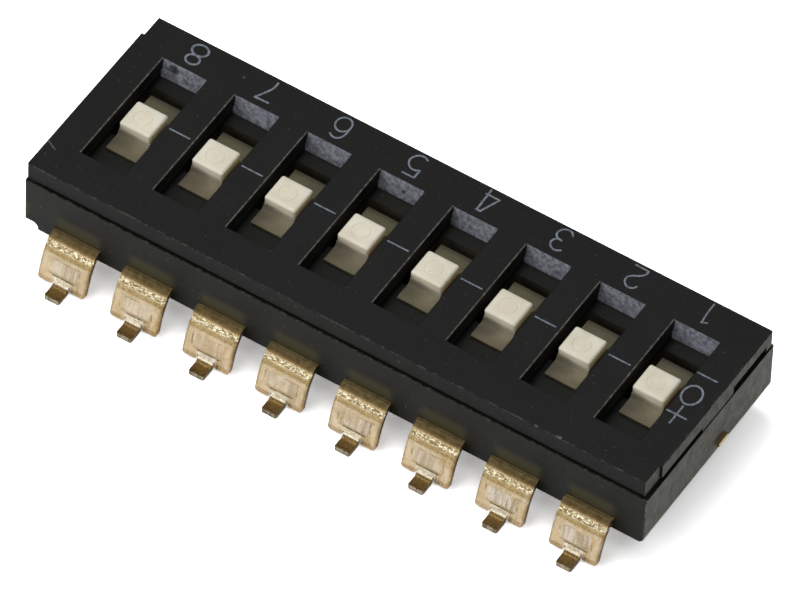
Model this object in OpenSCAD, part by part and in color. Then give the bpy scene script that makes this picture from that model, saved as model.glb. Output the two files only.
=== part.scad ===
// Eight position, three state surface mount DIP switch.
// Frame: X along the row of positions, position 1 at +X.
// -Y is the side with the eight leads, Z is up, z = 0 under the solder feet.

/* [Body] */
// Length of the base along the row
base_length = 21.5; // [21.3:0.1:26]
// Width of the base across the row
base_width = 7; // [6.86:0.02:8.4]
// Height of the base, from its underside to the cover
base_height = 2.03; // [1.9:0.01:2.6]
// Thickness of the cover plate
cover_thick = 0.7; // [0.6:0.01:0.95]
// How far the cover ends sit inside the base ends
cover_inset = 0.03; // [0:0.01:0.2]
// How far the cover sides sit inside the base sides
side_inset = 0.08; // [0:0.01:0.15]
// Radius of the upright corners
corner_r = 0.05; // [0.03:0.01:0.4]
// Radius of the lower edge of the base at position 1
end_round = 0.4; // [0.1:0.05:0.6]
// Height of the base underside above the solder plane
stand_off = 0.96; // [0.7:0.01:1.3]
// Distance from one switch position to the next
pitch = 2.54; // [2.45:0.01:2.64]

/* [Slots] */
// Width of a slot at the cover top
slot_width = 1.54; // [1.4:0.01:1.7]
// Length of a slot at the cover top
slot_length = 4.39; // [4.3:0.01:4.8]
// How much the slot ends lean inwards over the cover thickness
slot_lean = 0.135; // [0:0.005:0.16]
// Narrowing of the lower part of a slot, per side
slot_step = 0.02; // [0:0.005:0.05]
// Height of the narrower lower part of a slot
slot_step_height = 0.28; // [0.1:0.01:0.5]
// Edge break along the slot sides at the cover top
slot_break = 0.03; // [0.01:0.005:0.06]

/* [Sliders] */
// Knob width along the row
knob_width = 1.08; // [0.8:0.01:1.2]
// Knob length along the travel
knob_length = 1.02; // [0.8:0.01:1.2]
// Depth of the knob top below the cover top
knob_depth = 0.12; // [0:0.01:0.3]
// Edge rounding of the knob
knob_round = 0.08; // [0.02:0.01:0.12]
// Hollow fillet radius at the knob foot
knob_fillet = 0.15; // [0.05:0.01:0.3]
// Length of the shield plate under the knob
shield_length = 2.4; // [1.8:0.01:2.44]
// Travel from the middle to either end
travel = 0.84; // [0.6:0.01:0.9]

/* [Leads] */
// Width of a lead
lead_width = 1.64; // [1.2:0.01:1.8]
// Thickness of the lead frame metal
metal = 0.16; // [0.12:0.01:0.2]
// Height of the lead top where it leaves the base, from the base underside
lead_height = 0.55; // [0.5:0.01:0.62]
// Width of the narrow foot tab
foot_width = 0.52; // [0.3:0.01:0.7]
// Gap between the foot tab and the lobes beside it
foot_slit = 0.04; // [0.03:0.01:0.2]
// Reach of the foot tip from the base side
foot_reach = 1.38; // [1.3:0.01:1.8]
// Inner radius of the bend above the foot tab
foot_bend = 0.2; // [0.1:0.01:0.24]
// Height of the two lobes above the solder plane
lobe_gap = 0.13; // [0.03:0.01:0.16]
// Outer radius of the upper bend
bend_r = 0.4; // [0.3:0.01:0.5]
// Turn of the upper bend in degrees
bend_turn = 48; // [40:1:56]
// Outer radius of the long sweep below the bend
sweep_r = 1.9; // [1.4:0.1:2.4]
// Slope of the straight leg from the upright, in degrees
leg_slope = 18; // [12:1:24]

/* [Hidden] */
$fn = 48;
eps = 0.01;
ink_black = [0.15, 0.15, 0.14];
cream = [0.88, 0.85, 0.78];
gold = [0.83, 0.70, 0.42];
half_w = base_width / 2;
base_end = base_length / 2;
cover_half = half_w - side_inset;
cover_end = base_end - cover_inset;
cover_top = base_height + cover_thick;
slot_half = slot_length / 2;
slot_foot = slot_half - slot_lean;

// well under each slot, measured from the middle position
well_half = 1.0;
well_back = 1.57;
well_front = -0.6;
neck_half = 0.48;
neck_front = -1.13;
run_gap = 0.02;

// retaining flange and stem of the slider
flange_side_gap = 0.07;
flange_top_gap = 0.03;
flange_depth = 0.48;
stem_side_gap = 0.04;
stem_depth = 0.63;
neck_floor_gap = 0.05;
flange_front = well_front + travel + run_gap;
flange_back = well_back - travel - run_gap;
flange_mid = (flange_front + flange_back) / 2;
flange_half = well_half - flange_side_gap;
flange_top = base_height - flange_top_gap;
flange_low = base_height - flange_depth;
stem_half = neck_half - stem_side_gap;
stem_front = neck_front + travel + run_gap;
stem_low = base_height - stem_depth;
neck_low = stem_low - neck_floor_gap;

// shield plate and knob
shield_gap = 0.015;
shield_thick = 0.094;
shield_low = base_height + shield_gap;
shield_top = shield_low + shield_thick;
knob_top = cover_top - knob_depth;
mark_r = 0.3;
mark_line = 0.04;
mark_deep = 0.012;

// spring contact and the pin that holds it
spring = 0.08;
spring_flat = 0.36;
spring_end_gap = 0.01;
tip_r = 0.13;
tip_end = 320;
pin_r = 0.09;
pin_gap = 0.01;
head_out = 0.06;
head_high = 0.07;

// lead frame levels above the base underside
rail_off = 0.68;
rail_half = 0.19;
rail_rise = 0.5;
wipe_gap = 0.03;
frame_low = lead_height - metal;
rail_top = lead_height + rail_rise;
rail_low = rail_top - metal;
tip_z = rail_top + wipe_gap + tip_r;

// plus strip under the wells, minus strip behind them
plus_front = 0.34;
plus_back = 0.82;
strip_gap = 0.07;
plus_low = rail_low - strip_gap - metal;
plus_climb = 0.28;
stub_out = 0.15;
minus_front = 2.1;
minus_back = 2.7;
minus_climb = 0.48;
minus_end = 1.05;
root_depth = 0.5;
root_climb = 0.5;
bury = 0.1;
supply_x = 3.5 * pitch;
arm_in = base_end - 0.82;
arm_out = base_end - 0.42;
strip_side = 0.04;

// lead in side view, y from the base side and z from the base underside
bend_a = 90 + bend_turn;
sweep_a = 180 - leg_slope;
bend_c = [0, lead_height - bend_r];
sweep_c = bend_c - (sweep_r - bend_r) * [cos(bend_a), sin(bend_a)];
leg_out = sweep_c + sweep_r * [cos(sweep_a), sin(sweep_a)];
leg_in = sweep_c + (sweep_r - metal) * [cos(sweep_a), sin(sweep_a)];
lobe_low = lobe_gap - stand_off;
lobe_r = 0.1;
tip_round = 0.06;
cut_near = 0.5;
cut_far = 2;

// level where the upper face of the foot tab leaves the leg, and its lower face
foot_cz = foot_bend + metal - stand_off;
tab_z = foot_cz - foot_bend * sin(leg_slope);
tab_low = foot_cz - (foot_bend + metal) * sin(leg_slope);
tab_y = leg_out[0] - (leg_out[1] - tab_z) * tan(leg_slope);
foot_cy = tab_y - foot_bend * cos(leg_slope);

// how far a straight part reaches into the middle of the next bend, in degrees
join = 8;
join_small = 2;
join_edge = 0.03;

// end and side details of the cover
step_cut = 0.1;
step_run = 0.78;
groove_deep = 0.12;
groove_front = -0.42;
groove_back = 1.28;
groove_low = 0.2;
groove_high = 0.3;
line_high = 0.08;
line_deep = 0.06;
line_start = 0.33;

// underside details of the base
notch_run = 0.47;
notch_high = 0.32;
notch_round = 0.2;
edge_break = 0.07;

// locating pegs of the cover
peg_r = 0.22;
peg_long = 0.6;
peg_gap = 0.02;
peg_floor_gap = 0.05;
peg_x = base_end - 0.68;
peg_y = half_w - 0.58;

// X of a switch position, position 1 at the +X end
function slot_x(i) = (4.5 - i) * pitch;

// Block between two corners
module block(x0, x1, y0, y1, z0, z1) {
  translate([x0, y0, z0])
    cube([x1 - x0, y1 - y0, z1 - z0]);
}

// A y-z outline drawn out along the row
module along_x(x0, x1) {
  translate([x0, 0, 0])
    rotate([90, 0, 90])
      linear_extrude(x1 - x0)
        children();
}

// An x-z outline drawn out across the row
module along_y(y0, y1) {
  translate([0, y1, 0])
    rotate([90, 0, 0])
      linear_extrude(y1 - y0)
        children();
}

// Plate with rounded upright corners
module round_plate(half_x, half_y, r, z0, z1) {
  block(-half_x + r, half_x - r, -half_y, half_y, z0, z1);
  block(-half_x, half_x, -half_y + r, half_y - r, z0, z1);
  for (sx = [-1, 1])
    for (sy = [-1, 1])
      translate([sx * (half_x - r), sy * (half_y - r), z0])
        cylinder(h = z1 - z0, r = r);
}

// Part of a flat ring between two angles
module ring_part(c, r_in, r_out, a0, a1) {
  far = 2 * r_out;
  mid = (a0 + a1) / 2;
  translate(c)
    intersection() {
      difference() {
        circle(r = r_out);
        circle(r = r_in);
      }
      polygon([[0, 0],
        [far * cos(a0), far * sin(a0)],
        [far * cos(mid), far * sin(mid)],
        [far * cos(a1), far * sin(a1)]]);
    }
}

// Side view of a strip along y that climbs from one level to another
module climb(y_start, y_foot, y_head, y_end, z_start, z_end) {
  way = y_end > y_start ? 1 : -1;
  lag = way * metal * tan(atan2(z_end - z_start, abs(y_head - y_foot)) / 2);
  polygon([[y_start, z_start],
    [y_foot, z_start],
    [y_head, z_end],
    [y_end, z_end],
    [y_end, z_end + metal],
    [y_head - lag, z_end + metal],
    [y_foot - lag, z_start + metal],
    [y_start, z_start + metal]]);
}

// ---- cover ----

module cover_slot() {
  intersection() {
    union() {
      block(-slot_width / 2, slot_width / 2, -slot_half, slot_half,
        base_height + slot_step_height, cover_top + eps);
      block(-slot_width / 2 + slot_step, slot_width / 2 - slot_step, -slot_half, slot_half,
        base_height - eps, base_height + slot_step_height + eps);
    }
    along_x(-slot_width, slot_width)
      polygon([[-slot_foot, base_height - eps],
        [slot_foot, base_height - eps],
        [slot_foot, base_height],
        [slot_half, cover_top],
        [slot_half, cover_top + eps],
        [-slot_half, cover_top + eps],
        [-slot_half, cover_top],
        [-slot_foot, base_height]]);
  }
  // broken edges along the slot sides
  for (side = [-1, 1])
    translate([side * slot_width / 2, 0, cover_top])
      rotate([0, 45, 0])
        cube([slot_break * sqrt(2), slot_length, slot_break * sqrt(2)], center = true);
}

// Cuts at the +X end of the cover and along its -Y side; a half turn gives the others
module cover_edge_cuts() {
  // stepped back corner
  block(cover_end - step_cut, cover_end + eps, -cover_half - eps, -cover_half + step_run,
    base_height - eps, cover_top + eps);
  // shadow grooves above the parting line
  block(cover_end - groove_deep, cover_end + eps, -cover_half - eps, groove_front,
    base_height - eps, base_height + groove_low);
  block(cover_end - groove_deep, cover_end + eps, groove_back, cover_half - line_start,
    base_height - eps, base_height + groove_high);
  // parting line, from the groove round to the next corner and along the side
  block(cover_end - line_deep, cover_end + eps, groove_back, cover_half + eps,
    base_height - eps, base_height + line_high);
  block(line_start - cover_end, cover_end + eps, -cover_half - eps, -cover_half + line_deep,
    base_height - eps, base_height + line_high);
}

module cover_shape() {
  difference() {
    round_plate(cover_end, cover_half, corner_r, base_height, cover_top);
    for (turn = [0, 180])
      rotate([0, 0, turn])
        cover_edge_cuts();
    for (i = [1 : 8])
      translate([slot_x(i), 0, 0])
        cover_slot();
  }
  // locating pegs
  for (sx = [-1, 1])
    for (sy = [-1, 1])
      translate([sx * peg_x, sy * peg_y, base_height - peg_long])
        cylinder(h = peg_long + cover_thick / 2, r = peg_r);
}

// ---- base ----

module well() {
  block(-well_half, well_half, well_front, well_back, rail_low, base_height + eps);
  block(-neck_half, neck_half, neck_front, well_front + eps, neck_low, base_height + eps);
}

module base_shape() {
  difference() {
    round_plate(base_end, half_w, corner_r, 0, base_height);
    for (i = [1 : 8])
      translate([slot_x(i), 0, 0]) {
        well();
        terminal_inner();
        plus_tab();
        minus_tab();
      }
    plus_strip();
    minus_strip();
    // peg holes
    for (sx = [-1, 1])
      for (sy = [-1, 1])
        translate([sx * peg_x, sy * peg_y, base_height - peg_long - peg_floor_gap])
          cylinder(h = peg_long + cover_thick, r = peg_r + peg_gap);
    end_notch();
    end_rounding();
    // bottom edge breaks along both sides
    for (sy = [-1, 1])
      translate([0, sy * half_w, 0])
        rotate([45, 0, 0])
          cube([base_length + 1, edge_break * sqrt(2), edge_break * sqrt(2)], center = true);
  }
}

// Notch under the position 8 end, with a rounded inner corner
module end_notch() {
  difference() {
    block(-base_end - eps, -base_end + notch_run, -half_w - eps, half_w + eps, -eps, notch_high);
    translate([-base_end + notch_run, 0, notch_high])
      rotate([90, 0, 0])
        difference() {
          cube([2 * notch_round, 2 * notch_round, base_width + 1], center = true);
          translate([-notch_round, -notch_round, 0])
            cylinder(h = base_width + 2, r = notch_round, center = true);
        }
  }
}

// Rounding of the lower edge at the position 1 end
module end_rounding() {
  translate([base_end, 0, 0])
    rotate([90, 0, 0])
      difference() {
        cube([2 * end_round, 2 * end_round, base_width + 1], center = true);
        translate([-end_round, end_round, 0])
          cylinder(h = base_width + 2, r = end_round, center = true);
      }
}

// ---- sliders ----

// Block with rounded top and upright edges
module soft_block(half_x, half_y, r, z0, z1) {
  block(-half_x + r, half_x - r, -half_y, half_y, z0, z1 - r);
  block(-half_x, half_x, -half_y + r, half_y - r, z0, z1 - r);
  block(-half_x + r, half_x - r, -half_y + r, half_y - r, z0, z1);
  for (sx = [-1, 1])
    for (sy = [-1, 1])
      translate([sx * (half_x - r), sy * (half_y - r), z0]) {
        cylinder(h = z1 - r - z0, r = r);
        translate([0, 0, z1 - r - z0])
          sphere(r = r);
      }
  for (sx = [-1, 1])
    translate([sx * (half_x - r), 0, z1 - r])
      rotate([90, 0, 0])
        cylinder(h = 2 * (half_y - r), r = r, center = true);
  for (sy = [-1, 1])
    translate([0, sy * (half_y - r), z1 - r])
      rotate([0, 90, 0])
        cylinder(h = 2 * (half_x - r), r = r, center = true);
}

// Hollow fillet along one foot of the knob
module foot_fillet(side) {
  r = knob_fillet;
  y = side * knob_length / 2;
  difference() {
    block(-knob_width / 2, knob_width / 2,
      side > 0 ? y - knob_round : y - r, side > 0 ? y + r : y + knob_round,
      shield_low, shield_top + r);
    translate([0, y + side * r, shield_top + r])
      rotate([0, 90, 0])
        cylinder(h = 2 * knob_width, r = r, center = true);
  }
}

module slider_shape() {
  difference() {
    union() {
      soft_block(knob_width / 2, knob_length / 2, knob_round, shield_low, knob_top);
      foot_fillet(-1);
      foot_fillet(1);
      block(-knob_width / 2, knob_width / 2, -shield_length / 2, shield_length / 2,
        shield_low, shield_top);
      // stem in the narrow neck of the well
      block(-stem_half, stem_half, stem_front, flange_back, stem_low, shield_low + eps);
      // flange held under the cover
      block(-flange_half, flange_half, flange_front, flange_back, flange_low, flange_top);
      // pin and head that carry the contact
      translate([0, flange_mid, stem_low - spring - pin_gap - head_high]) {
        cylinder(h = spring + pin_gap + head_high + eps, r = pin_r);
        cylinder(h = head_high, r = pin_r + head_out);
      }
    }
    // round ejector mark on the knob top
    translate([0, 0, knob_top - mark_deep])
      difference() {
        cylinder(h = knob_depth, r = mark_r);
        translate([0, 0, -eps])
          cylinder(h = knob_depth + 2 * eps, r = mark_r - mark_line);
      }
  }
}

// ---- contacts ----

// Outline of one arm, from the middle of the strip to its wiping tip
module contact_arm() {
  dx = rail_off - spring_flat;
  dz = (stem_low - spring) - tip_z;
  reach = sqrt(dx * dx + dz * dz);
  fall = atan2(dz, dx) + asin(tip_r / reach);
  nx = -sin(fall);
  nz = -cos(fall);
  low_x = rail_off + tip_r * nx;
  low_z = tip_z + tip_r * nz;
  top_x = low_x - spring * nx;
  top_z = low_z - spring * nz;
  // where the arm's upper side meets the flat part's top
  run = (stem_low - top_z) / sin(fall);
  // a point well inside the ring, so that arm and tip are one
  in_a = 270 + join - fall;
  in_r = tip_r - spring / 2;
  polygon([[0, stem_low - spring],
    [spring_flat, stem_low - spring],
    [low_x, low_z],
    [rail_off + in_r * cos(in_a), tip_z + in_r * sin(in_a)],
    [top_x, top_z],
    [top_x - run * cos(fall), stem_low],
    [0, stem_low]]);
  ring_part([rail_off, tip_z], tip_r - spring, tip_r, 270 - fall, tip_end);
}

module contact_shape() {
  difference() {
    along_y(flange_front + spring_end_gap, flange_back - spring_end_gap) {
      contact_arm();
      mirror([1, 0])
        contact_arm();
    }
    translate([0, flange_mid, stem_low - 2 * spring])
      cylinder(h = 3 * spring, r = pin_r + pin_gap);
  }
}

// ---- terminals ----

// Direction at an angle in a side view
function toward(a) = [cos(a), sin(a)];

// Side view of a lead down to the lobes
module lead_side() {
  mid_bend = bend_r - metal / 2;
  mid_sweep = sweep_r - metal / 2;
  // each straight part ends in a point inside the next bend, so that all are one
  polygon([[root_depth, frame_low],
    [root_depth, lead_height],
    [bend_c[0], lead_height],
    bend_c + mid_bend * toward(90 + join),
    [bend_c[0], frame_low]]);
  ring_part(bend_c, bend_r - metal, bend_r, 90, bend_a);
  ring_part(sweep_c, sweep_r - metal, sweep_r, bend_a, sweep_a);
  polygon([bend_c + mid_bend * toward(bend_a - join),
    bend_c + (bend_r - join_edge) * toward(bend_a),
    sweep_c + mid_sweep * toward(bend_a + join_small),
    bend_c + (bend_r - metal + join_edge) * toward(bend_a)]);
  polygon([leg_out,
    [leg_out[0] - (leg_out[1] - lobe_low) * tan(leg_slope), lobe_low],
    [leg_in[0] - (leg_in[1] - lobe_low) * tan(leg_slope), lobe_low],
    leg_in,
    sweep_c + mid_sweep * toward(sweep_a - join_small)]);
}

// Side view of the foot tab, bent outwards from the leg
module foot_side() {
  mid = foot_bend + metal / 2;
  ring_part([foot_cy, foot_cz], foot_bend, foot_bend + metal, 270, 360 - leg_slope);
  polygon([[-foot_reach, -stand_off],
    [foot_cy, -stand_off],
    [foot_cy, foot_cz] + mid * toward(270 + join),
    [foot_cy, metal - stand_off],
    [-foot_reach, metal - stand_off]]);
}

module lead_shape() {
  w = lead_width / 2;
  f = foot_width / 2;
  slit_top = tab_z - foot_slit / 2;
  translate([0, -half_w, 0]) {
    difference() {
      along_x(-w, w)
        lead_side();
      // gap for the foot tab
      block(-f - foot_slit / 2, f + foot_slit / 2, -cut_far, -cut_near, lobe_low - eps, tab_low);
      for (s = [-1, 1]) {
        // slit beside the tab with a round end
        translate([s * (f + foot_slit / 2), 0, 0]) {
          block(-foot_slit / 2, foot_slit / 2, -cut_far, -cut_near, lobe_low - eps, slit_top);
          translate([0, -cut_near, slit_top])
            rotate([90, 0, 0])
              cylinder(h = cut_far - cut_near, r = foot_slit / 2);
        }
        // rounded outer and inner corners of the two lobes
        lobe_corner(s * w, -s);
        lobe_corner(s * (f + foot_slit), s);
      }
    }
    difference() {
      along_x(-f, f)
        foot_side();
      // rounded tip corners of the foot
      for (s = [-1, 1])
        tip_corner(s * f, -s);
    }
  }
}

// Cutter for one rounded lower corner of a lobe, at x, material towards side
module lobe_corner(x, side) {
  r = lobe_r;
  difference() {
    block(side > 0 ? x - eps : x - r, side > 0 ? x + r : x + eps, -cut_far, -cut_near,
      lobe_low - eps, lobe_low + r);
    translate([x + side * r, 0, lobe_low + r])
      rotate([90, 0, 0])
        cylinder(h = 2 * cut_far, r = r);
  }
}

// Cutter for one rounded corner of a foot tip
module tip_corner(x, side) {
  r = tip_round;
  y = -foot_reach;
  difference() {
    block(side > 0 ? x - eps : x - r, side > 0 ? x + r : x + eps, y - eps, y + r,
      -stand_off - eps, metal - stand_off + eps);
    translate([x + side * r, y + r, -stand_off - 2 * eps])
      cylinder(h = metal + 4 * eps, r = r);
  }
}

// Root, ramp and rail inside the base
module terminal_inner() {
  ramp = root_depth + bury - half_w;
  block(-lead_width / 2, lead_width / 2, -half_w, root_depth - half_w, frame_low, lead_height);
  along_x(-rail_off - rail_half, -rail_off + rail_half)
    climb(ramp - 2 * bury, ramp, ramp + root_climb, well_back + bury, frame_low, rail_low);
}

module terminal_shape() {
  terminal_inner();
  lead_shape();
}

// ---- common strips ----

module plus_tab() {
  along_x(rail_off - rail_half, rail_off + rail_half)
    climb(plus_front + bury, plus_front - eps, plus_front - plus_climb, well_front - bury,
      plus_low, rail_low);
}

module minus_tab() {
  along_x(rail_off - rail_half, rail_off + rail_half)
    climb(minus_front + bury, minus_front - eps, minus_front - minus_climb, minus_end,
      frame_low, rail_low);
}

module plus_strip() {
  block(-base_end - stub_out, base_end + stub_out, plus_front, plus_back, plus_low, plus_low + metal);
  // arm down to the level of the leads
  along_x(arm_in, arm_out)
    climb(plus_back - bury, plus_back + bury, plus_back + root_climb, half_w, plus_low, frame_low);
  block(supply_x - lead_width / 2, arm_out, half_w - root_depth, half_w, frame_low, lead_height);
}

module minus_strip() {
  rim = supply_x + rail_off + rail_half + strip_side;
  block(-supply_x - lead_width / 2, rim, minus_front, minus_back, frame_low, lead_height);
  block(-supply_x - lead_width / 2, -supply_x + lead_width / 2, minus_back - eps, half_w,
    frame_low, lead_height);
}

module back_lead(x) {
  translate([x, 0, 0])
    mirror([0, 1, 0])
      lead_shape();
}

// ---- placed pieces ----

module lift() {
  translate([0, 0, stand_off])
    children();
}

module at_slot(i) {
  translate([slot_x(i), 0, stand_off])
    children();
}

module cover() {
  color(ink_black)
    lift()
      cover_shape();
}

module base() {
  color(ink_black)
    lift()
      base_shape();
}

module slider_1() {
  color(cream)
    at_slot(1)
      slider_shape();
}

module slider_2() {
  color(cream)
    at_slot(2)
      slider_shape();
}

module slider_3() {
  color(cream)
    at_slot(3)
      slider_shape();
}

module slider_4() {
  color(cream)
    at_slot(4)
      slider_shape();
}

module slider_5() {
  color(cream)
    at_slot(5)
      slider_shape();
}

module slider_6() {
  color(cream)
    at_slot(6)
      slider_shape();
}

module slider_7() {
  color(cream)
    at_slot(7)
      slider_shape();
}

module slider_8() {
  color(cream)
    at_slot(8)
      slider_shape();
}

module contact_1() {
  color(gold)
    at_slot(1)
      contact_shape();
}

module contact_2() {
  color(gold)
    at_slot(2)
      contact_shape();
}

module contact_3() {
  color(gold)
    at_slot(3)
      contact_shape();
}

module contact_4() {
  color(gold)
    at_slot(4)
      contact_shape();
}

module contact_5() {
  color(gold)
    at_slot(5)
      contact_shape();
}

module contact_6() {
  color(gold)
    at_slot(6)
      contact_shape();
}

module contact_7() {
  color(gold)
    at_slot(7)
      contact_shape();
}

module contact_8() {
  color(gold)
    at_slot(8)
      contact_shape();
}

module terminal_1() {
  color(gold)
    at_slot(1)
      terminal_shape();
}

module terminal_2() {
  color(gold)
    at_slot(2)
      terminal_shape();
}

module terminal_3() {
  color(gold)
    at_slot(3)
      terminal_shape();
}

module terminal_4() {
  color(gold)
    at_slot(4)
      terminal_shape();
}

module terminal_5() {
  color(gold)
    at_slot(5)
      terminal_shape();
}

module terminal_6() {
  color(gold)
    at_slot(6)
      terminal_shape();
}

module terminal_7() {
  color(gold)
    at_slot(7)
      terminal_shape();
}

module terminal_8() {
  color(gold)
    at_slot(8)
      terminal_shape();
}

module bus_plus() {
  color(gold)
    lift() {
      plus_strip();
      for (i = [1 : 8])
        translate([slot_x(i), 0, 0])
          plus_tab();
      back_lead(supply_x);
    }
}

module bus_minus() {
  color(gold)
    lift() {
      minus_strip();
      for (i = [1 : 8])
        translate([slot_x(i), 0, 0])
          minus_tab();
      back_lead(-supply_x);
    }
}

cover();
base();
slider_1();
slider_2();
slider_3();
slider_4();
slider_5();
slider_6();
slider_7();
slider_8();
contact_1();
contact_2();
contact_3();
contact_4();
contact_5();
contact_6();
contact_7();
contact_8();
terminal_1();
terminal_2();
terminal_3();
terminal_4();
terminal_5();
terminal_6();
terminal_7();
terminal_8();
bus_plus();
bus_minus();
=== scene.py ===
# Eight position three state DIP switch: looks, print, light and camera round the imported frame.
# Lengths are in millimetres, and MM turns them into the frame's metres. Colours are sRGB, 0 to 255.
import math
import random

import bmesh
import bpy
from mathutils import Matrix, Vector


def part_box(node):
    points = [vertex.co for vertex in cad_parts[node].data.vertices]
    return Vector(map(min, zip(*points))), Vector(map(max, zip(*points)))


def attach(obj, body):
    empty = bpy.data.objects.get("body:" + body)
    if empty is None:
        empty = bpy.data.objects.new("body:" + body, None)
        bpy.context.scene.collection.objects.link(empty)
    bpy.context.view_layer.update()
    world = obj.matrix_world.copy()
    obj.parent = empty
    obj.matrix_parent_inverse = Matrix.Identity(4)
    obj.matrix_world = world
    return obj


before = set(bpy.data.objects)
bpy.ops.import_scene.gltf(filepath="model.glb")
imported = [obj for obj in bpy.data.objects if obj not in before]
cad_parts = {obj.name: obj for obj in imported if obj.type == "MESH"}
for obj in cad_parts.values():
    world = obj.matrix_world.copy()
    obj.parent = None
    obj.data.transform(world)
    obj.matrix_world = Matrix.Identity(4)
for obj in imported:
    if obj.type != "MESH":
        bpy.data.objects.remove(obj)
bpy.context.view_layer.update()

MM = 0.001
POSITIONS = 8
PITCH = 2.54


def corners(node):
    """The lowest and the highest corner of a node, in millimetres."""
    return [[round(v / MM, 3) for v in corner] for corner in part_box(node)]


# the housing
FEET = corners("base")[0][2]    # underside of the base
BASE_END, BASE_HALF, BASE_TOP = corners("base")[1]
COVER_END, COVER_HALF, COVER_TOP = corners("cover")[1]
SLOT_HALF_X = 0.77
SLOT_FOOT_Y, SLOT_HALF_Y = 2.06, 2.195      # the sloping end of a slot, at its foot and at its top
SLOTS_END = BASE_END - 0.95     # no slot reaches further out than this
CHAMBERS_END, CHAMBERS_HALF = 10.0, 1.9     # the chambers under the slots lie within these
END_SKIN = BASE_END - 0.35      # the end faces lie further out than this

# the leads, from the foot up
LEAD_END = -corners("terminal_1")[0][1]
TAB_TOP, TAB_HALF = 0.39, 0.27              # height of the foot tab, and half its width
TAB_BEND_Y, TAB_TIP_Y = LEAD_END - 0.52, LEAD_END - 0.04    # the tab's bend and its cut tip
PRESSED_Z, PRESSED_U = (0.51, 0.93), (-0.5, 0.48)   # the pressed rectangle, up and across a lead
OLIVE_Z = (1.05, 1.18)          # the olive zone
BEND_Z = (1.19, 1.35)           # the bend, where a highlight is painted
SHOULDER_Z = 1.36               # the dull shoulder starts here

# the print
INK_T = 0.004                   # it stands this proud of the cover
INK_W, INK_THIN = 0.06, 0.05    # usual and thin width of a line
INK_STEP = 0.12                 # each further outline of a sign is lower by this share
INK_UNEVEN = 0.07               # a line's width varies by this share
DIGIT_SHIFT = (0.023, -0.04)

SEED_Y = 0.7                    # share of a noise's seed by which it moves in y

# dark blots on the frosted walls: x, z, size, strength
BLOTS = (
    (-9.25, 3.45, 0.22, 0.95), (-8.75, 3.2, 0.1, 0.5), (-1.18, 3.28, 0.1, 0.9),
    (9.3, 3.62, 0.1, 0.9), (4.1, 3.2, 0.12, 0.4))
# handling marks on the cover: from, to, half width, soft edge, strength
SCRATCHES = (
    ((-10.7, -2.35), (-10.35, -2.52), 0.01, 0.03, 0.4),
    ((-7.28, 2.9), (-7.24, 2.88), 0.02, 0.04, 0.35),
    ((-7.03, 0.33), (-6.97, 0.27), 0.02, 0.05, 0.4),
    ((-8.74, -2.07), (-8.62, -2.02), 0.015, 0.04, 0.45),
    ((7.6, -3.4), (7.72, -3.38), 0.03, 0.04, 0.5),
    ((6.86, -3.4), (6.94, -3.4), 0.02, 0.03, 0.5))

# the floor's brightness for plain, mirrored and camera rays, and the glow that camera rays see
FLOOR_PLAIN, FLOOR_MIRROR, FLOOR_SHOWN, FLOOR_GLOW = 0.8, 1.0, 1.9, 0.28
FLOOR_HALF = 200
# brightness of the surroundings: sine of the elevation, level
SKY = ((0.0, 0.30), (0.30, 0.30), (0.60, 0.20), (0.82, 0.20), (1.0, 0.35))
# soft boxes: name, azimuth from +X towards +Y, elevation, distance, width, height, radiance
LAMPS = (
    ("key", 200, 50, 160, 80, 80, 2.0), ("top", 140, 78, 160, 70, 70, 5.2),
    ("front", 242, 30, 120, 130, 70, 2.2), ("right", 328, 60, 160, 60, 60, 2.2))

# the camera fitted to the photo: its turn from -Y towards +X, its height and its roll in degrees
CAM_AZ, CAM_EL, CAM_ROLL = 30.77917039, 50.77855928, 2.50014905
# its place from the middle of the base's underside, along its own right, up and back
CAM_RIGHT, CAM_UP, CAM_DIST = 0.11613673, 0.27885102, 349.22066881
CAM_F_PX = 11916.86691          # focal length in pixels, for a photo this wide
PHOTO_W_PX = 800
SENSOR_W = 36
CAM_CLIP = (0.02, 5)            # in metres

rng = random.Random(7)


def pos_x(i):
    """X of a switch position, position 1 at the +X end."""
    return ((POSITIONS + 1) / 2 - i) * PITCH


def lin(colour):
    """sRGB 0..255 to linear RGBA."""
    def f(v):
        v = v / 255
        return v / 12.92 if v <= 0.04045 else ((v + 0.055) / 1.055) ** 2.4
    return (*map(f, colour), 1.0)


# ---------------------------------------------------------------- node helpers
class Nodes:
    """Shorthand for building a shader node tree."""

    def __init__(self, owner):
        owner.use_nodes = True
        self.t = owner.node_tree
        self.t.nodes.clear()

    def put(self, value, socket):
        """Link an output to the socket, or set the socket's own value."""
        if hasattr(value, "is_linked"):
            self.t.links.new(value, socket)
        else:
            socket.default_value = value

    def node(self, kind, inputs=None, **settings):
        """A shader node, its settings, and then its inputs by name or number."""
        n = self.t.nodes.new("ShaderNode" + kind)
        for key, value in settings.items():
            setattr(n, key, value)
        for key, value in (inputs or {}).items():
            self.put(value, n.inputs[key])
        return n

    def math(self, operation, *values):
        return self.node("Math", dict(enumerate(values)), operation=operation).outputs[0]

    def chain(self, operation, first, *rest):
        for value in rest:
            first = self.math(operation, first, value)
        return first

    def add(self, *values):
        return self.chain("ADD", *values)

    def mul(self, *values):
        return self.chain("MULTIPLY", *values)

    def top(self, *values):
        return self.chain("MAXIMUM", *values)

    def sub(self, a, b):
        return self.math("SUBTRACT", a, b)

    def mag(self, a):
        return self.math("ABSOLUTE", a)


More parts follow.
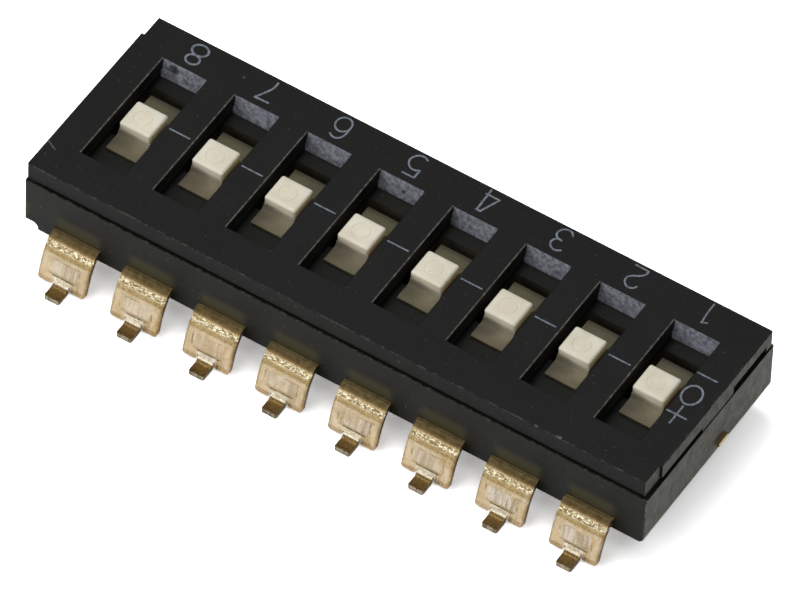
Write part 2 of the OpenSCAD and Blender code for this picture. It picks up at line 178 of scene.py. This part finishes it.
class Mat(Nodes):
    """A material under construction. Its coordinates are object space in millimetres."""

    def __init__(self, name):
        self.m = bpy.data.materials.new(name)
        super().__init__(self.m)
        self.b = self.node("BsdfPrincipled")
        self.node("OutputMaterial", {0: self.b.outputs[0]})
        place = self.node("TexCoord").outputs["Object"]
        self.co = self.node("VectorMath", {0: place, "Scale": 1 / MM}, operation="SCALE").outputs[0]
        self.x, self.y, self.z = self.node("SeparateXYZ", {0: self.co}).outputs

    def normal_x(self):
        """X of the face direction in object space."""
        world = self.node("NewGeometry").outputs["True Normal"]
        turned = self.node("VectorTransform", {0: world}, vector_type="NORMAL",
                           convert_from="WORLD", convert_to="OBJECT")
        return self.node("SeparateXYZ", {0: turned.outputs[0]}).outputs[0]

    def faces_x(self):
        """1 on the faces that look along X, either way."""
        return self.step(self.mag(self.normal_x()), 0.6, 0.95)

    def noise(self, scale, detail, rough, stretch=None, seed=0.0, distort=0.0):
        """Noise from 0 to 1. A seed moves it aside, so that no two patterns line up."""
        where = self.co
        if stretch or seed:
            aside = (seed, seed * SEED_Y, -seed)
            where = self.node("Mapping", {
                0: where, "Scale": stretch or (1, 1, 1), "Location": aside}).outputs[0]
        return self.node("TexNoise", {
            "Vector": where, "Scale": scale, "Detail": detail, "Roughness": rough,
            "Distortion": distort}).outputs[0]

    def step(self, v, start, end, low=0.0, high=1.0):
        """Smooth change from low to high as v goes from start to end."""
        return self.node("MapRange", {
            "Value": v, "From Min": start, "From Max": end, "To Min": low, "To Max": high},
            interpolation_type="SMOOTHSTEP", clamp=True).outputs[0]

    def fall(self, v, start, end, low=0.0):
        """Smooth change from 1 to low as v goes from start to end."""
        return self.step(v, start, end, 1.0, low)

    def band(self, v, start, end, soft):
        """1 between start and end, falling to 0 over soft on both sides."""
        return self.mul(self.step(v, start - soft, start + soft),
                        self.fall(v, end - soft, end + soft))

    def patches(self, start, end, scale, detail, rough, low=0.0, high=1.0, **more):
        """Noise as soft patches: low where it is under start, high where it is over end."""
        return self.step(self.noise(scale, detail, rough, **more), start, end, low, high)

    def cell(self):
        """X measured from the middle of the nearest position, and the number of that position."""
        k = self.math("DIVIDE", self.x, PITCH)
        whole = self.math("FLOOR", k)
        return self.mul(self.sub(self.sub(k, whole), 0.5), PITCH), whole

    def chance(self, number):
        """A random value from 0 to 1 for each whole number."""
        return self.node("TexWhiteNoise", {"W": number}, noise_dimensions="1D").outputs["Value"]

    def streak(self, a, b, half_w, soft):
        """1 on the line from a to b (x, y), fading over soft past its edges."""
        dx, dy = b[0] - a[0], b[1] - a[1]
        size = math.hypot(dx, dy)
        px = self.sub(self.x, (a[0] + b[0]) / 2)
        py = self.sub(self.y, (a[1] + b[1]) / 2)
        along = self.mag(self.add(self.mul(px, dx / size), self.mul(py, dy / size)))
        off = self.mag(self.add(self.mul(px, -dy / size), self.mul(py, dx / size)))
        return self.mul(self.fall(off, half_w, half_w + soft),
                        self.fall(along, size / 2, size / 2 + soft))

    def mix(self, fac, a, b):
        """From a to b as fac goes from 0 to 1; each is a link or a colour."""
        a, b = (lin(c) if isinstance(c, tuple) else c for c in (a, b))
        return self.node("Mix", {"Factor": fac, "A": a, "B": b}, data_type="RGBA").outputs["Result"]

    def shade(self, fac, colour, by):
        """Multiply a colour where fac is 1, by a link or by a factor for each linear channel."""
        by = (*by, 1.0) if isinstance(by, tuple) else by
        return self.node("Mix", {"Factor": fac, "A": colour, "B": by},
                         data_type="RGBA", blend_type="MULTIPLY").outputs["Result"]

    def soft_edge(self, radius):
        return self.node("Bevel", {"Radius": radius * MM}, samples=4).outputs[0]

    def bump(self, height, distance, strength, normal=None):
        inputs = {"Strength": strength, "Distance": distance * MM, "Height": height}
        if normal is not None:
            inputs["Normal"] = normal
        return self.node("Bump", inputs).outputs[0]

    def finish(self, colour, rough, normal, metallic=0.0, **constants):
        """Feed the shader. Constants go on its own sockets."""
        for key, value in (("Base Color", colour), ("Roughness", rough), ("Normal", normal),
                           ("Metallic", metallic)):
            self.put(value, self.b.inputs[key])
        for key, value in constants.items():
            self.b.inputs[key.replace("_", " ")].default_value = value
        return self.m


# ---------------------------------------------------------------- materials
def black_plastic(name, tone, rough, details):
    """Glass filled moulding: fine grain, mottling, light specks, and the details of one part."""
    a = Mat(name)
    fine = a.noise(22, 4, 0.65)
    mottle = a.patches(0.3, 0.7, 0.8, 3, 0.5, seed=3.1)
    col = a.mix(mottle, tuple(c * 0.9 for c in tone), tuple(c * 1.1 for c in tone))
    grain = a.patches(0.35, 0.75, 11, 2, 0.5, seed=5.0)
    col = a.shade(a.mul(grain, 0.35), col, (0.6, 0.6, 0.6))
    speck = a.mul(a.patches(0.735, 0.78, 13, 1, 0.4, seed=11.0), 0.35)
    col = a.mix(speck, col, (112, 112, 108))
    # the ends are painted greyer and lighter than the sides: partly a dustier skin, partly a
    # painted reflection of the floor
    end = a.mul(a.faces_x(), a.step(a.mag(a.x), END_SKIN, END_SKIN + 0.1))
    dust_and_sheen = a.mul(end, a.patches(0.2, 0.75, 2.6, 4, 0.6, 0.45, seed=17.0))
    drawn = a.patches(0.32, 0.66, 3.4, 4, 0.75, 0.58, stretch=(1.0, 2.4, 0.5), seed=19.0)
    col = a.mix(a.mul(dust_and_sheen, drawn), col, (124, 123, 114))
    end_speck = a.mul(end, a.patches(0.66, 0.72, 9, 2, 0.5, seed=31.0))
    col = a.mix(a.mul(end_speck, 0.4), col, (150, 150, 145))
    col = details(a, col, mottle)
    normal = a.bump(fine, 0.006, 0.6, a.soft_edge(0.03))
    return a.finish(col, a.step(fine, 0.25, 0.75, rough - 0.06, rough + 0.08), normal,
                    Specular_IOR_Level=0.22)


def cover_details(a, col, _):
    """Rubbed rim that is partly a painted highlight, painted highlights on the slots' left edges,
    frosted back walls and handling marks.
    """
    u = a.cell()[0]
    ax, ay = a.mag(a.x), a.mag(a.y)
    slots = a.fall(ax, SLOTS_END, SLOTS_END + 0.1)
    top_edge = a.step(a.z, COVER_TOP - 0.04, COVER_TOP - 0.01)
    # rubbed rim, broken up by noise: partly wear, partly a painted highlight on the top edges
    rim_x = a.step(ax, COVER_END - 0.05, COVER_END - 0.01)
    rim_y = a.step(ay, COVER_HALF - 0.05, COVER_HALF - 0.01)
    rim = a.mul(a.top(rim_x, rim_y), top_edge)
    wear_and_highlight = a.patches(0.45, 0.66, 5, 4, 0.7, seed=41.0)
    col = a.mix(a.mul(rim, wear_and_highlight, 0.45), col, (106, 106, 100))
    # painted highlight along the left top edge of each slot, broken up by noise
    lip = a.mul(a.band(u, -SLOT_HALF_X - 0.038, -SLOT_HALF_X + 0.012, 0.008), top_edge,
                a.fall(ay, SLOT_HALF_Y - 0.02, SLOT_HALF_Y + 0.02),
                slots, a.patches(0.38, 0.66, 7, 4, 0.75, 0.3, seed=51.0))
    col = a.mix(a.mul(lip, 0.8), col, (140, 140, 132))
    col = frosted_walls(a, col, u, slots)
    return handling_marks(a, col)


def frosted_walls(a, col, u, slots):
    """Frosted back wall of each slot, with dark blots."""
    wall = a.mul(a.fall(a.mag(u), SLOT_HALF_X - 0.02, SLOT_HALF_X - 0.005),
                 a.band(a.y, SLOT_FOOT_Y - 0.01, SLOT_HALF_Y + 0.01, 0.004),
                 a.fall(a.z, COVER_TOP - 0.012, COVER_TOP - 0.004))
    frost = a.mix(a.patches(0.32, 0.68, 7, 4, 0.7, seed=61.0), (96, 98, 105), (154, 156, 167))
    blots = []
    for x, z, size, strength in BLOTS:
        dx, dz = a.sub(a.x, x), a.sub(a.z, z)
        far = a.add(a.mul(dx, dx), a.mul(dz, dz, 1.6))
        blots.append(a.mul(a.fall(far, 0.2 * size * size, 1.3 * size * size), strength))
    ragged = a.patches(0.3, 0.55, 5, 4, 0.7, seed=67.0)
    frost = a.mix(a.mul(a.top(*blots), ragged), frost, (44, 47, 52))
    return a.mix(a.mul(wall, slots), col, frost)


def handling_marks(a, col):
    """Short pale scratches, on the cover's top only."""
    marks = [a.mul(a.streak(*line), strength) for *line, strength in SCRATCHES]
    torn = a.mul(a.patches(0.35, 0.62, 18, 3, 0.7, seed=71.0),
                 a.step(a.z, COVER_TOP - 0.03, COVER_TOP - 0.005))
    return a.mix(a.mul(a.top(*marks), torn), col, (150, 150, 145))


def base_details(a, col, mottle):
    """Painted reflections of the leads over their roots, chambers painted lighter, pale chips on
    the corners and a rim that is partly rubbed, partly a painted highlight.
    """
    u = a.cell()[0]
    ax, ay = a.mag(a.x), a.mag(a.y)
    # painted reflection of each gold lead in the base's front face, above its root
    brown_tint = a.mul(a.band(a.z, 1.5, 2.05, 0.2), a.band(u, -0.7, 0.8, 0.16),
                  a.fall(a.y, -BASE_HALF + 0.01, -BASE_HALF + 0.05))
    col = a.mix(a.mul(brown_tint, 0.55), col, (76, 71, 45))
    # the chambers under the slots are painted lighter, as painted light in their deep shade, so
    # they do not go fully black
    inside = a.mul(a.fall(ay, CHAMBERS_HALF, CHAMBERS_HALF + 0.1),
                   a.fall(a.z, BASE_TOP - 0.03, BASE_TOP - 0.01),
                   a.fall(ax, CHAMBERS_END, CHAMBERS_END + 0.1))
    col = a.mix(inside, col, a.mix(mottle, (56, 54, 42), (76, 72, 58)))
    # pale chips down the upright corners
    corner = a.mul(a.step(ax, BASE_END - 0.06, BASE_END - 0.02),
                   a.step(ay, BASE_HALF - 0.07, BASE_HALF - 0.03))
    chips = a.patches(0.42, 0.62, 4, 4, 0.7, seed=47.0)
    col = a.mix(a.mul(corner, chips, 0.7), col, (128, 128, 122))
    # rubbed rim along the top edges: partly wear, partly a painted highlight
    rim = a.mul(a.step(ay, BASE_HALF - 0.08, BASE_HALF - 0.03),
                a.step(a.z, BASE_TOP - 0.03, BASE_TOP - 0.005))
    rubbed_and_highlight = a.patches(0.4, 0.7, 5, 4, 0.7, seed=43.0)
    return a.mix(a.mul(rim, rubbed_and_highlight, 0.5), col, (105, 105, 98))


def cream_plastic():
    """Moulded nylon: even cream top, flanks painted lighter and warmer, and the plate down in the
    slot darkened with painted shade.
    """
    a = Mat("cream_nylon")
    fine = a.noise(20, 4, 0.6)
    u = a.cell()[0]
    col = a.mix(a.patches(0.3, 0.7, 1.3, 3, 0.5, seed=5.0), (218, 210, 189), (230, 223, 204))
    speck = a.patches(0.70, 0.76, 7, 2, 0.5, seed=21.0)
    col = a.mix(a.mul(speck, 0.4), col, (150, 138, 112))
    # painted light: the flanks down in the slot are painted lighter and warmer
    flank_light = a.mul(a.faces_x(), a.fall(a.z, COVER_TOP - 0.2, COVER_TOP - 0.12))
    col = a.mix(a.mul(flank_light, 0.7), col, (255, 238, 198))
    # painted shade: the plate down in the slot is darkened, less so at its front right and back
    # left, where light reaches it
    low = a.fall(a.z, BASE_TOP + 0.12, BASE_TOP + 0.38)
    twist = a.mul(u, a.math("SIGN", a.y), -1.0)
    lit_share = a.mul(a.fall(a.mag(a.y), 0.55, 1.15, 0.6), a.step(twist, -0.55, 0.4, 0.75))
    shade_and_grime = a.mix(lit_share, (78, 72, 54), (142, 136, 116))
    grime = a.patches(0.35, 0.7, 3.2, 4, 0.65, seed=27.0)
    shade_and_grime = a.shade(a.mul(grime, 0.35), shade_and_grime, (0.6, 0.56, 0.5))
    # painted shadow: darker behind the knob, and darkest at the plate's back edge
    shade_and_grime = a.shade(a.step(a.y, 0.5, 0.7), shade_and_grime, (0.7, 0.72, 0.58))
    shade_and_grime = a.shade(a.step(a.y, 1.0, 1.2), shade_and_grime, (0.3, 0.28, 0.22))
    col = a.shade(low, col, shade_and_grime)
    # painted shadow, ragged, at the front left of the knob's foot
    du, dy, dz = a.add(u, 0.38), a.add(a.y, 0.62), a.add(a.z, -BASE_TOP - 0.12)
    far = a.add(a.mul(du, du, 3.2), a.mul(dy, dy, 6.0), a.mul(dz, dz, 14.0),
                a.mul(a.sub(a.noise(4, 3, 0.6, seed=29.0), 0.5), 0.8))
    col = a.shade(a.mul(a.fall(far, 0.1, 1.5), 0.5), col, (0.24, 0.2, 0.13))
    # painted light in the moulded ring's groove, which cancels its shade
    radius = a.math("SQRT", a.add(a.mul(u, u), a.mul(a.y, a.y)))
    ring = a.mul(a.band(radius, 0.255, 0.305, 0.008),
                 a.step(a.z, COVER_TOP - 0.16, COVER_TOP - 0.14))
    col = a.mix(a.mul(ring, 0.3), col, (244, 238, 222))
    normal = a.bump(fine, 0.004, 0.5, a.soft_edge(0.02))
    # nylon lets light through, which warms the sides down in the slot
    return a.finish(col, a.step(fine, 0.3, 0.7, 0.45, 0.6), normal, Subsurface_Weight=0.45,
                    Subsurface_Radius=(1.0, 0.82, 0.6), Subsurface_Scale=0.6 * MM)


def pressed_mark(a, col, u, position, z, lines):
    """The lead's pressed rectangle of vertical streaks, fainter on some leads.

    Gives the colour, and how strongly the rectangle shows at each place.
    """
    slant = a.add(u, a.mul(a.sub(z, 0.7), 0.1))
    below = a.mul(a.band(z, 0.44, 0.53, 0.02), a.band(u, -0.5, 0.5, 0.06))
    col = a.mix(a.mul(below, 0.8), col, (182, 162, 126))
    pressed = a.mix(lines, (160, 143, 120), (232, 219, 200))
    rust = a.patches(0.52, 0.66, 1.6, 3, 0.5, seed=16.0)
    pressed = a.mix(a.mul(rust, 0.6), pressed, (190, 160, 112))
    box = a.mul(a.band(slant, *PRESSED_U, 0.03), a.band(z, *PRESSED_Z, 0.02),
                a.step(a.chance(position), 0.0, 1.0, 0.5, 0.95))
    col = a.mix(box, col, pressed)
    # its outline: broken olive lines, and a dark line under it
    above = a.mul(a.band(z, 0.925, 0.945, 0.012), a.band(u, -0.6, 0.6, 0.04))
    beside = a.mul(a.top(a.band(slant, -0.6, -0.55, 0.02), a.band(slant, 0.5, 0.55, 0.02)),
                   a.band(z, 0.55, 0.93, 0.03))
    broken = a.patches(0.42, 0.6, 2.6, 3, 0.6, seed=18.0)
    col = a.mix(a.mul(a.top(above, beside), broken, 0.75), col, (132, 108, 66))
    under = a.mul(a.band(z, 0.42, 0.455, 0.012), a.band(u, -0.36, 0.42, 0.04),
                  a.patches(0.25, 0.5, 3.5, 3, 0.6, seed=19.0))
    return a.mix(under, col, (84, 70, 46)), box


def foot_tab(a, col, u, z, glint, lines):
    """The lead's foot: a painted highlight, cream, over its bend, a painted dark reflection on the
    flat, and grey at its cut tip.

    Gives the colour, and how much each place belongs to the painted highlight on the bend.
    """
    au, ay = a.mag(u), a.mag(a.y)
    # painted highlight over the tab's bend
    cream = a.mul(a.fall(au, TAB_HALF, TAB_HALF + 0.09), a.fall(z, TAB_TOP + 0.01, TAB_TOP + 0.04),
                  a.fall(ay, TAB_BEND_Y, TAB_BEND_Y + 0.05))
    col = a.mix(cream, col, a.mix(glint, (222, 204, 170), (255, 250, 232)))
    # painted dark reflection on the tab's flat top
    flat = a.mul(a.fall(au, TAB_HALF, TAB_HALF + 0.015), a.fall(z, TAB_TOP, TAB_TOP + 0.03),
                 a.step(ay, TAB_BEND_Y - 0.02, TAB_BEND_Y + 0.04))
    col = a.mix(flat, col, (107, 87, 53))
    tip = a.step(ay, TAB_TIP_Y, TAB_TIP_Y + 0.02)
    return a.mix(tip, col, a.mix(lines, (112, 100, 82), (170, 158, 136))), cream


def lead_gold():
    """Gold flashed lead: dull shoulder with a painted dark reflection, a painted highlight over the
    bend, pressed rectangle with tool streaks.
    """
    a = Mat("lead_gold")
    u, position = a.cell()
    z = a.add(a.z, a.mul(a.sub(a.noise(3, 2, 0.5, seed=4.0), 0.5), 0.04))
    fine = a.noise(16, 4, 0.6)
    col = a.mix(a.patches(0.3, 0.7, 2.2, 3, 0.5, seed=8.0), (212, 190, 152), (232, 210, 176))
    brown_tint = a.mul(a.patches(0.5, 0.68, 2.4, 3, 0.6, stretch=(1.5, 0.5, 0.5), seed=24.0),
                  a.step(u, -0.6, 0.6, 0.3))
    col = a.mix(a.mul(brown_tint, 0.6), col, (196, 160, 100))
    pale = a.patches(0.54, 0.7, 3.2, 3, 0.6, stretch=(1.3, 0.5, 0.5), seed=25.0)
    col = a.mix(a.mul(pale, 0.6), col, (240, 226, 204))
    # olive zone under the bend
    olive = a.mul(a.band(z, *OLIVE_Z, 0.03), a.patches(0.2, 0.6, 4, 3, 0.6, 0.6, seed=9.0))
    col = a.mix(olive, col, (172, 148, 100))
    # painted highlight across the bend: pale glints among fine wrinkles
    ripple = a.noise(12, 4, 0.66, stretch=(0.8, 1.5, 1.5), seed=12.0, distort=0.6)
    bend = a.band(z, *BEND_Z, 0.03)
    glint = a.step(ripple, 0.44, 0.58)
    col = a.mix(bend, col, a.mix(glint, (142, 120, 76), (255, 244, 210)))
    # painted dark reflection of the housing on the shoulder, paler close in to the base
    patchy = a.patches(0.3, 0.7, 6, 4, 0.6, seed=14.0)
    brown = a.mix(a.step(a.mag(a.y), BASE_HALF, BASE_HALF + 0.1),
                  a.mix(patchy, (148, 128, 88), (172, 150, 108)),
                  a.mix(patchy, (76, 64, 40), (100, 86, 59)))
    brown = a.mix(a.step(z, SHOULDER_Z, SHOULDER_Z + 0.11), (106, 87, 54), brown)
    col = a.mix(a.step(z, SHOULDER_Z - 0.06, SHOULDER_Z + 0.04), col, brown)
    lines = a.patches(0.36, 0.6, 5, 3, 0.7, stretch=(1.7, 0.12, 0.12), seed=15.0)
    col, box = pressed_mark(a, col, u, position, z, lines)
    # browner edges
    edge = a.top(a.step(u, 0.7, 0.8), a.mul(a.fall(u, -0.79, -0.74), 0.7),
                 a.mul(a.fall(z, 0.24, 0.32), 0.8))
    edge = a.mul(edge, a.fall(z, 1.2, 1.3), a.patches(0.3, 0.6, 3, 3, 0.6, 0.4, seed=26.0))
    col = a.mix(a.mul(edge, 0.75), col, (146, 112, 58))
    col, cream = foot_tab(a, col, u, z, glint, lines)
    # cut end of the plus strip, in the right-hand wall
    stub = a.mul(a.step(a.mag(a.x), BASE_END - 0.01, BASE_END + 0.01),
                 a.step(a.normal_x(), 0.5, 0.8))
    col = a.mix(stub, col, a.mix(lines, (206, 168, 96), (255, 232, 180)))
    # tiny pits
    pit = a.mul(a.patches(0.75, 0.8, 10, 2, 0.4, seed=22.0), a.sub(1.0, cream))
    col = a.mix(a.mul(pit, 0.4), col, (120, 96, 56))
    # the shoulder is smoother and duller than the rest
    calm = a.fall(z, SHOULDER_Z, SHOULDER_Z + 0.12, 0.35)
    dull = a.step(z, SHOULDER_Z, SHOULDER_Z + 0.08, 0.0, 0.1)
    height = a.add(a.mul(ripple, bend), a.mul(a.add(fine, lines), calm, 0.17))
    normal = a.bump(height, 0.036, 0.9, a.soft_edge(0.02))
    rough = a.add(a.step(fine, 0.3, 0.7, 0.24, 0.36), dull)
    matt = a.top(a.mul(cream, 0.6), a.mul(box, 0.35))
    return a.finish(col, rough, normal, a.sub(1.0, matt))


def contact_gold():
    """Bright spring strip with fine rolling lines."""
    a = Mat("contact_gold")
    fine = a.noise(16, 4, 0.6)
    rolled = a.noise(14, 3, 0.6, stretch=(1, 0.06, 1), seed=3.0)
    col = a.mix(a.step(rolled, 0.3, 0.7), (214, 182, 116), (236, 208, 148))
    normal = a.bump(rolled, 0.004, 0.5, a.soft_edge(0.01))
    return a.finish(col, a.step(fine, 0.3, 0.7, 0.22, 0.36), normal, 1.0)


def pad_ink():
    """Grey lilac pad print, thin in places."""
    a = Mat("pad_ink")
    fine = a.noise(30, 3, 0.6)
    col = a.mix(a.patches(0.36, 0.6, 9, 4, 0.65, seed=2.0), (90, 96, 105), (124, 131, 142))
    return a.finish(col, a.step(fine, 0.3, 0.7, 0.5, 0.7), a.bump(fine, 0.003, 0.5),
                    Specular_IOR_Level=0.3)


def paint(obj, mat):
    """Give an object this one material."""
    obj.data.materials.clear()
    obj.data.materials.append(mat)


def added(name, data):
    """A new object in the scene."""
    ob = bpy.data.objects.new(name, data)
    bpy.context.scene.collection.objects.link(ob)
    return ob


# by the first word of a node's name
MATERIALS = {
    "cover": black_plastic("cover_moulding", (17, 17, 16), 0.56, cover_details),
    "base": black_plastic("base_moulding", (15, 16, 12), 0.46, base_details),
    "slider": cream_plastic(), "terminal": lead_gold(), "contact": contact_gold()}
MATERIALS["bus"] = MATERIALS["terminal"]
ink_mat = pad_ink()
for name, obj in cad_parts.items():
    paint(obj, MATERIALS[name.split("_")[0]])


# ---------------------------------------------------------------- printed marks
def smooth(points, steps=5):
    """Points along a Catmull-Rom curve through the given ones."""
    if len(points) < 3:
        return list(points)
    p = [points[0], *points, points[-1]]
    out = []
    for k in range(1, len(p) - 2):
        for j in range(steps):
            t = j / steps
            out.append(tuple(
                0.5 * (2 * b + (c - a) * t + (2 * a - 5 * b + 4 * c - d) * t * t
                       + (3 * b - a - 3 * c + d) * t ** 3)
                for a, b, c, d in zip(p[k - 1], p[k], p[k + 1], p[k + 2])))
    out.append(points[-1])
    return out


def stroke(path, w=INK_W, curved=True):
    """Outline of a printed line with round ends and slightly uneven width."""
    path = smooth(path) if curved else list(path)
    last = len(path) - 1
    left, right, angles = [], [], []
    for k, (x, y) in enumerate(path):
        a, b = path[max(k - 1, 0)], path[min(k + 1, last)]
        ang = math.atan2(b[1] - a[1], b[0] - a[0])
        angles.append(ang)
        h = w / 2 * (1 + rng.uniform(-INK_UNEVEN, INK_UNEVEN))
        left.append((x - h * math.sin(ang), y + h * math.cos(ang)))
        right.append((x + h * math.sin(ang), y - h * math.cos(ang)))

    def cap(p, ang):
        turns = [ang - j * math.pi / 6 for j in range(1, 6)]
        return [(p[0] + w / 2 * math.cos(t), p[1] + w / 2 * math.sin(t)) for t in turns]
    return (left + cap(path[-1], angles[-1] + math.pi / 2)
            + right[::-1] + cap(path[0], angles[0] - math.pi / 2))


def straight(*path, w=INK_W):
    """Outline of a printed line that runs straight from point to point."""
    return stroke(path, w, False)


def loop(cx, cy, rx, ry, w=INK_W, n=36):
    """Outer and inner outline of a printed oval; rx and ry reach its outer edge."""
    turns = [2 * math.pi * k / n for k in range(n)]
    return [[(cx + (rx - inset) * math.cos(t), cy + (ry - inset) * math.sin(t)) for t in turns]
            for inset in (0.0, w)]


def printed(name, shapes, shift=(0.0, 0.0)):
    """One printed sign. Each shape is an outline, or an outer and an inner outline."""
    bm = bmesh.new()
    for k, shape in enumerate(shapes):
        t = INK_T * (1 - INK_STEP * k)
        rings = []
        for rim in shape if isinstance(shape[0], list) else [shape]:
            low, high = (
                [bm.verts.new(((x + shift[0]) * MM, (y + shift[1]) * MM, z * MM)) for x, y in rim]
                for z in (COVER_TOP, COVER_TOP + t))
            n = len(rim)
            for j in range(n):
                bm.faces.new((low[j], low[(j + 1) % n], high[(j + 1) % n], high[j]))
            rings.append((low, high))
        if len(rings) == 1:
            for verts in rings[0]:
                bmesh.ops.triangulate(bm, faces=[bm.faces.new(verts)], ngon_method="EAR_CLIP")
        else:
            for outer, inner in zip(*rings):
                n = len(outer)
                for j in range(n):
                    bm.faces.new((outer[j], outer[(j + 1) % n], inner[(j + 1) % n], inner[j]))
    bmesh.ops.recalc_face_normals(bm, faces=bm.faces)
    ob = added(name, bpy.data.meshes.new(name))
    bm.to_mesh(ob.data)
    bm.free()
    paint(ob, ink_mat)
    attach(ob, "housing")


for i in range(1, POSITIONS):
    x = pos_x(i + 1)
    dash = stroke([(x + 0.89, 0.02), (x + 1.24, 0.018), (x + 1.59, 0.02)], INK_THIN)
    printed(f"dash_{i}", [dash])
printed("mark_minus", [stroke([(9.71, 0.89), (10.05, 0.888), (10.36, 0.89)], 0.055)])
printed("mark_zero", [loop(10.02, 0.07, 0.33, 0.407, 0.065)])
printed("mark_plus", [stroke([(9.70, -0.78), (10.02, -0.778), (10.35, -0.78)]),
                      stroke([(10.02, -0.41), (10.022, -0.78), (10.02, -1.15)])])
# position numbers, read from the back of the switch
DIGITS = {
    1: [stroke([(8.75, 3.35), (8.76, 2.9), (8.80, 2.57)], INK_THIN),
        straight((8.78, 2.56), (8.95, 2.64), w=INK_THIN)],
    2: [straight((6.08, 3.34), (6.53, 3.33), w=INK_THIN),
        stroke([(6.52, 3.31), (6.52, 3.2), (6.4, 3.05), (6.2, 2.93), (6.1, 2.8), (6.12, 2.65),
                (6.22, 2.54), (6.35, 2.5), (6.48, 2.56), (6.53, 2.66)])],
    3: [stroke([(3.98, 3.22), (3.9, 3.32), (3.75, 3.35), (3.6, 3.27), (3.53, 3.12), (3.56, 2.99),
                (3.66, 2.92), (3.79, 2.89)]),
        stroke([(3.65, 2.9), (3.56, 2.78), (3.57, 2.62), (3.68, 2.52), (3.82, 2.49),
                (3.97, 2.57)])],
    4: [straight((1.07, 3.37), (1.10, 2.52)), straight((1.02, 3.17), (1.49, 3.17)),
        straight((1.47, 3.15), (1.22, 2.52)), straight((1.07, 2.51), (1.23, 2.51))],
    5: [straight((-1.46, 2.49), (-1.07, 2.49)), straight((-1.07, 2.49), (-1.06, 2.81)),
        stroke([(-1.08, 2.81), (-1.2, 2.75), (-1.35, 2.76), (-1.49, 2.88), (-1.54, 3.05),
                (-1.47, 3.22), (-1.35, 3.31), (-1.2, 3.33), (-1.08, 3.27)])],
    6: [loop(-3.87, 3.05, 0.28, 0.31),
        stroke([(-3.63, 3.02), (-3.62, 2.78), (-3.68, 2.58), (-3.8, 2.49), (-3.92, 2.49),
                (-4.04, 2.56)])],
    7: [stroke([(-6.33, 3.30), (-6.34, 3.05), (-6.45, 2.8), (-6.61, 2.50)], 0.065),
        straight((-6.62, 2.48), (-6.17, 2.50))],
    8: [loop(-8.92, 3.07, 0.30, 0.25, 0.07), loop(-8.93, 2.66, 0.26, 0.22, 0.07)]}
for digit, shapes in DIGITS.items():
    printed(f"digit_{digit}", shapes, DIGIT_SHIFT)


# ---------------------------------------------------------------- floor, light, camera
def floor_material():
    """Pale for plain rays, and the photo's white, with the shadow kept, for those that show it."""
    m = bpy.data.materials.new("floor_white")
    g = Nodes(m)
    rays = g.node("LightPath").outputs
    plain, mirror, shown = (
        g.node("BsdfDiffuse", {0: (v, v, v, 1)}).outputs[0]
        for v in (FLOOR_PLAIN, FLOOR_MIRROR, FLOOR_SHOWN))
    glow = g.node("Emission", {1: FLOOR_GLOW}).outputs[0]
    mirrored = g.math("MAXIMUM", rays["Is Glossy Ray"], rays["Is Transmission Ray"])
    unseen = g.node("MixShader", {0: mirrored, 1: plain, 2: mirror}).outputs[0]
    seen = g.node("AddShader", {0: shown, 1: glow}).outputs[0]
    both = g.node("MixShader", {0: rays["Is Camera Ray"], 1: unseen, 2: seen}).outputs[0]
    g.node("OutputMaterial", {0: both})
    return m


def studio():
    """Soft grey surroundings, brighter low down and overhead, and white for the camera."""
    w = bpy.data.worlds.new("studio")
    g = Nodes(w)
    way = g.node("SeparateXYZ", {0: g.node("TexCoord").outputs["Generated"]})
    ramp = g.node("ValToRGB", {0: way.outputs[2]})
    ramp.color_ramp.interpolation = "EASE"
    stops = ramp.color_ramp.elements
    while len(stops) > 1:
        stops.remove(stops[0])
    for k, (sine, level) in enumerate(SKY):
        stop = stops.new(sine) if k else stops[0]
        stop.position = sine
        stop.color = (level, level, level, 1)
    around = g.node("Background", {0: ramp.outputs[0]}).outputs[0]
    white = g.node("Background", {0: (1, 1, 1, 1)}).outputs[0]
    camera_ray = g.node("LightPath").outputs["Is Camera Ray"]
    both = g.node("MixShader", {0: camera_ray, 1: around, 2: white}).outputs[0]
    g.node("OutputWorld", {0: both})
    return w


def lamp(name, azimuth, elevation, distance, width, height, radiance):
    """Soft box turned to the part."""
    light = bpy.data.lights.new(name, "AREA")
    light.shape = "RECTANGLE"
    light.size, light.size_y = width * MM, height * MM
    light.energy = radiance * math.pi * width * height * MM * MM
    az, el = math.radians(azimuth), math.radians(elevation)
    away = Vector((math.cos(az) * math.cos(el), math.sin(az) * math.cos(el), math.sin(el)))
    ob = added(name, light)
    ob.location = away * distance * MM
    ob.rotation_euler = (-away).to_track_quat("-Z", "Y").to_euler()


def camera():
    """The photo's camera, far off and rolled a little."""
    az, el, roll = map(math.radians, (CAM_AZ, CAM_EL, CAM_ROLL))
    ahead = Vector((-math.sin(az) * math.cos(el), math.cos(az) * math.cos(el), -math.sin(el)))
    level = Vector((math.cos(az), math.sin(az), 0))
    upright = level.cross(ahead)
    right = level * math.cos(roll) + upright * math.sin(roll)
    up = -level * math.sin(roll) + upright * math.cos(roll)
    cam = bpy.data.cameras.new("camera")
    cam.sensor_fit = "HORIZONTAL"
    cam.sensor_width = SENSOR_W
    cam.lens = CAM_F_PX / PHOTO_W_PX * SENSOR_W
    cam.clip_start, cam.clip_end = CAM_CLIP
    place = right * CAM_RIGHT + up * CAM_UP - ahead * CAM_DIST + Vector((0, 0, FEET))
    turn = Matrix((right, up, -ahead)).transposed().to_4x4()
    turn.translation = place * MM
    ob = added("camera", cam)
    ob.matrix_world = turn
    return ob


corner = FLOOR_HALF * MM
floor = added("floor", bpy.data.meshes.new("floor"))
floor.data.from_pydata(
    [(-corner, -corner, 0), (corner, -corner, 0), (corner, corner, 0), (-corner, corner, 0)],
    [], [(0, 1, 2, 3)])
paint(floor, floor_material())
bpy.context.scene.world = studio()
for row in LAMPS:
    lamp(*row)
bpy.context.scene.camera = camera()
bpy.context.scene.view_settings.view_transform = "Standard"

bpy.context.view_layer.update()
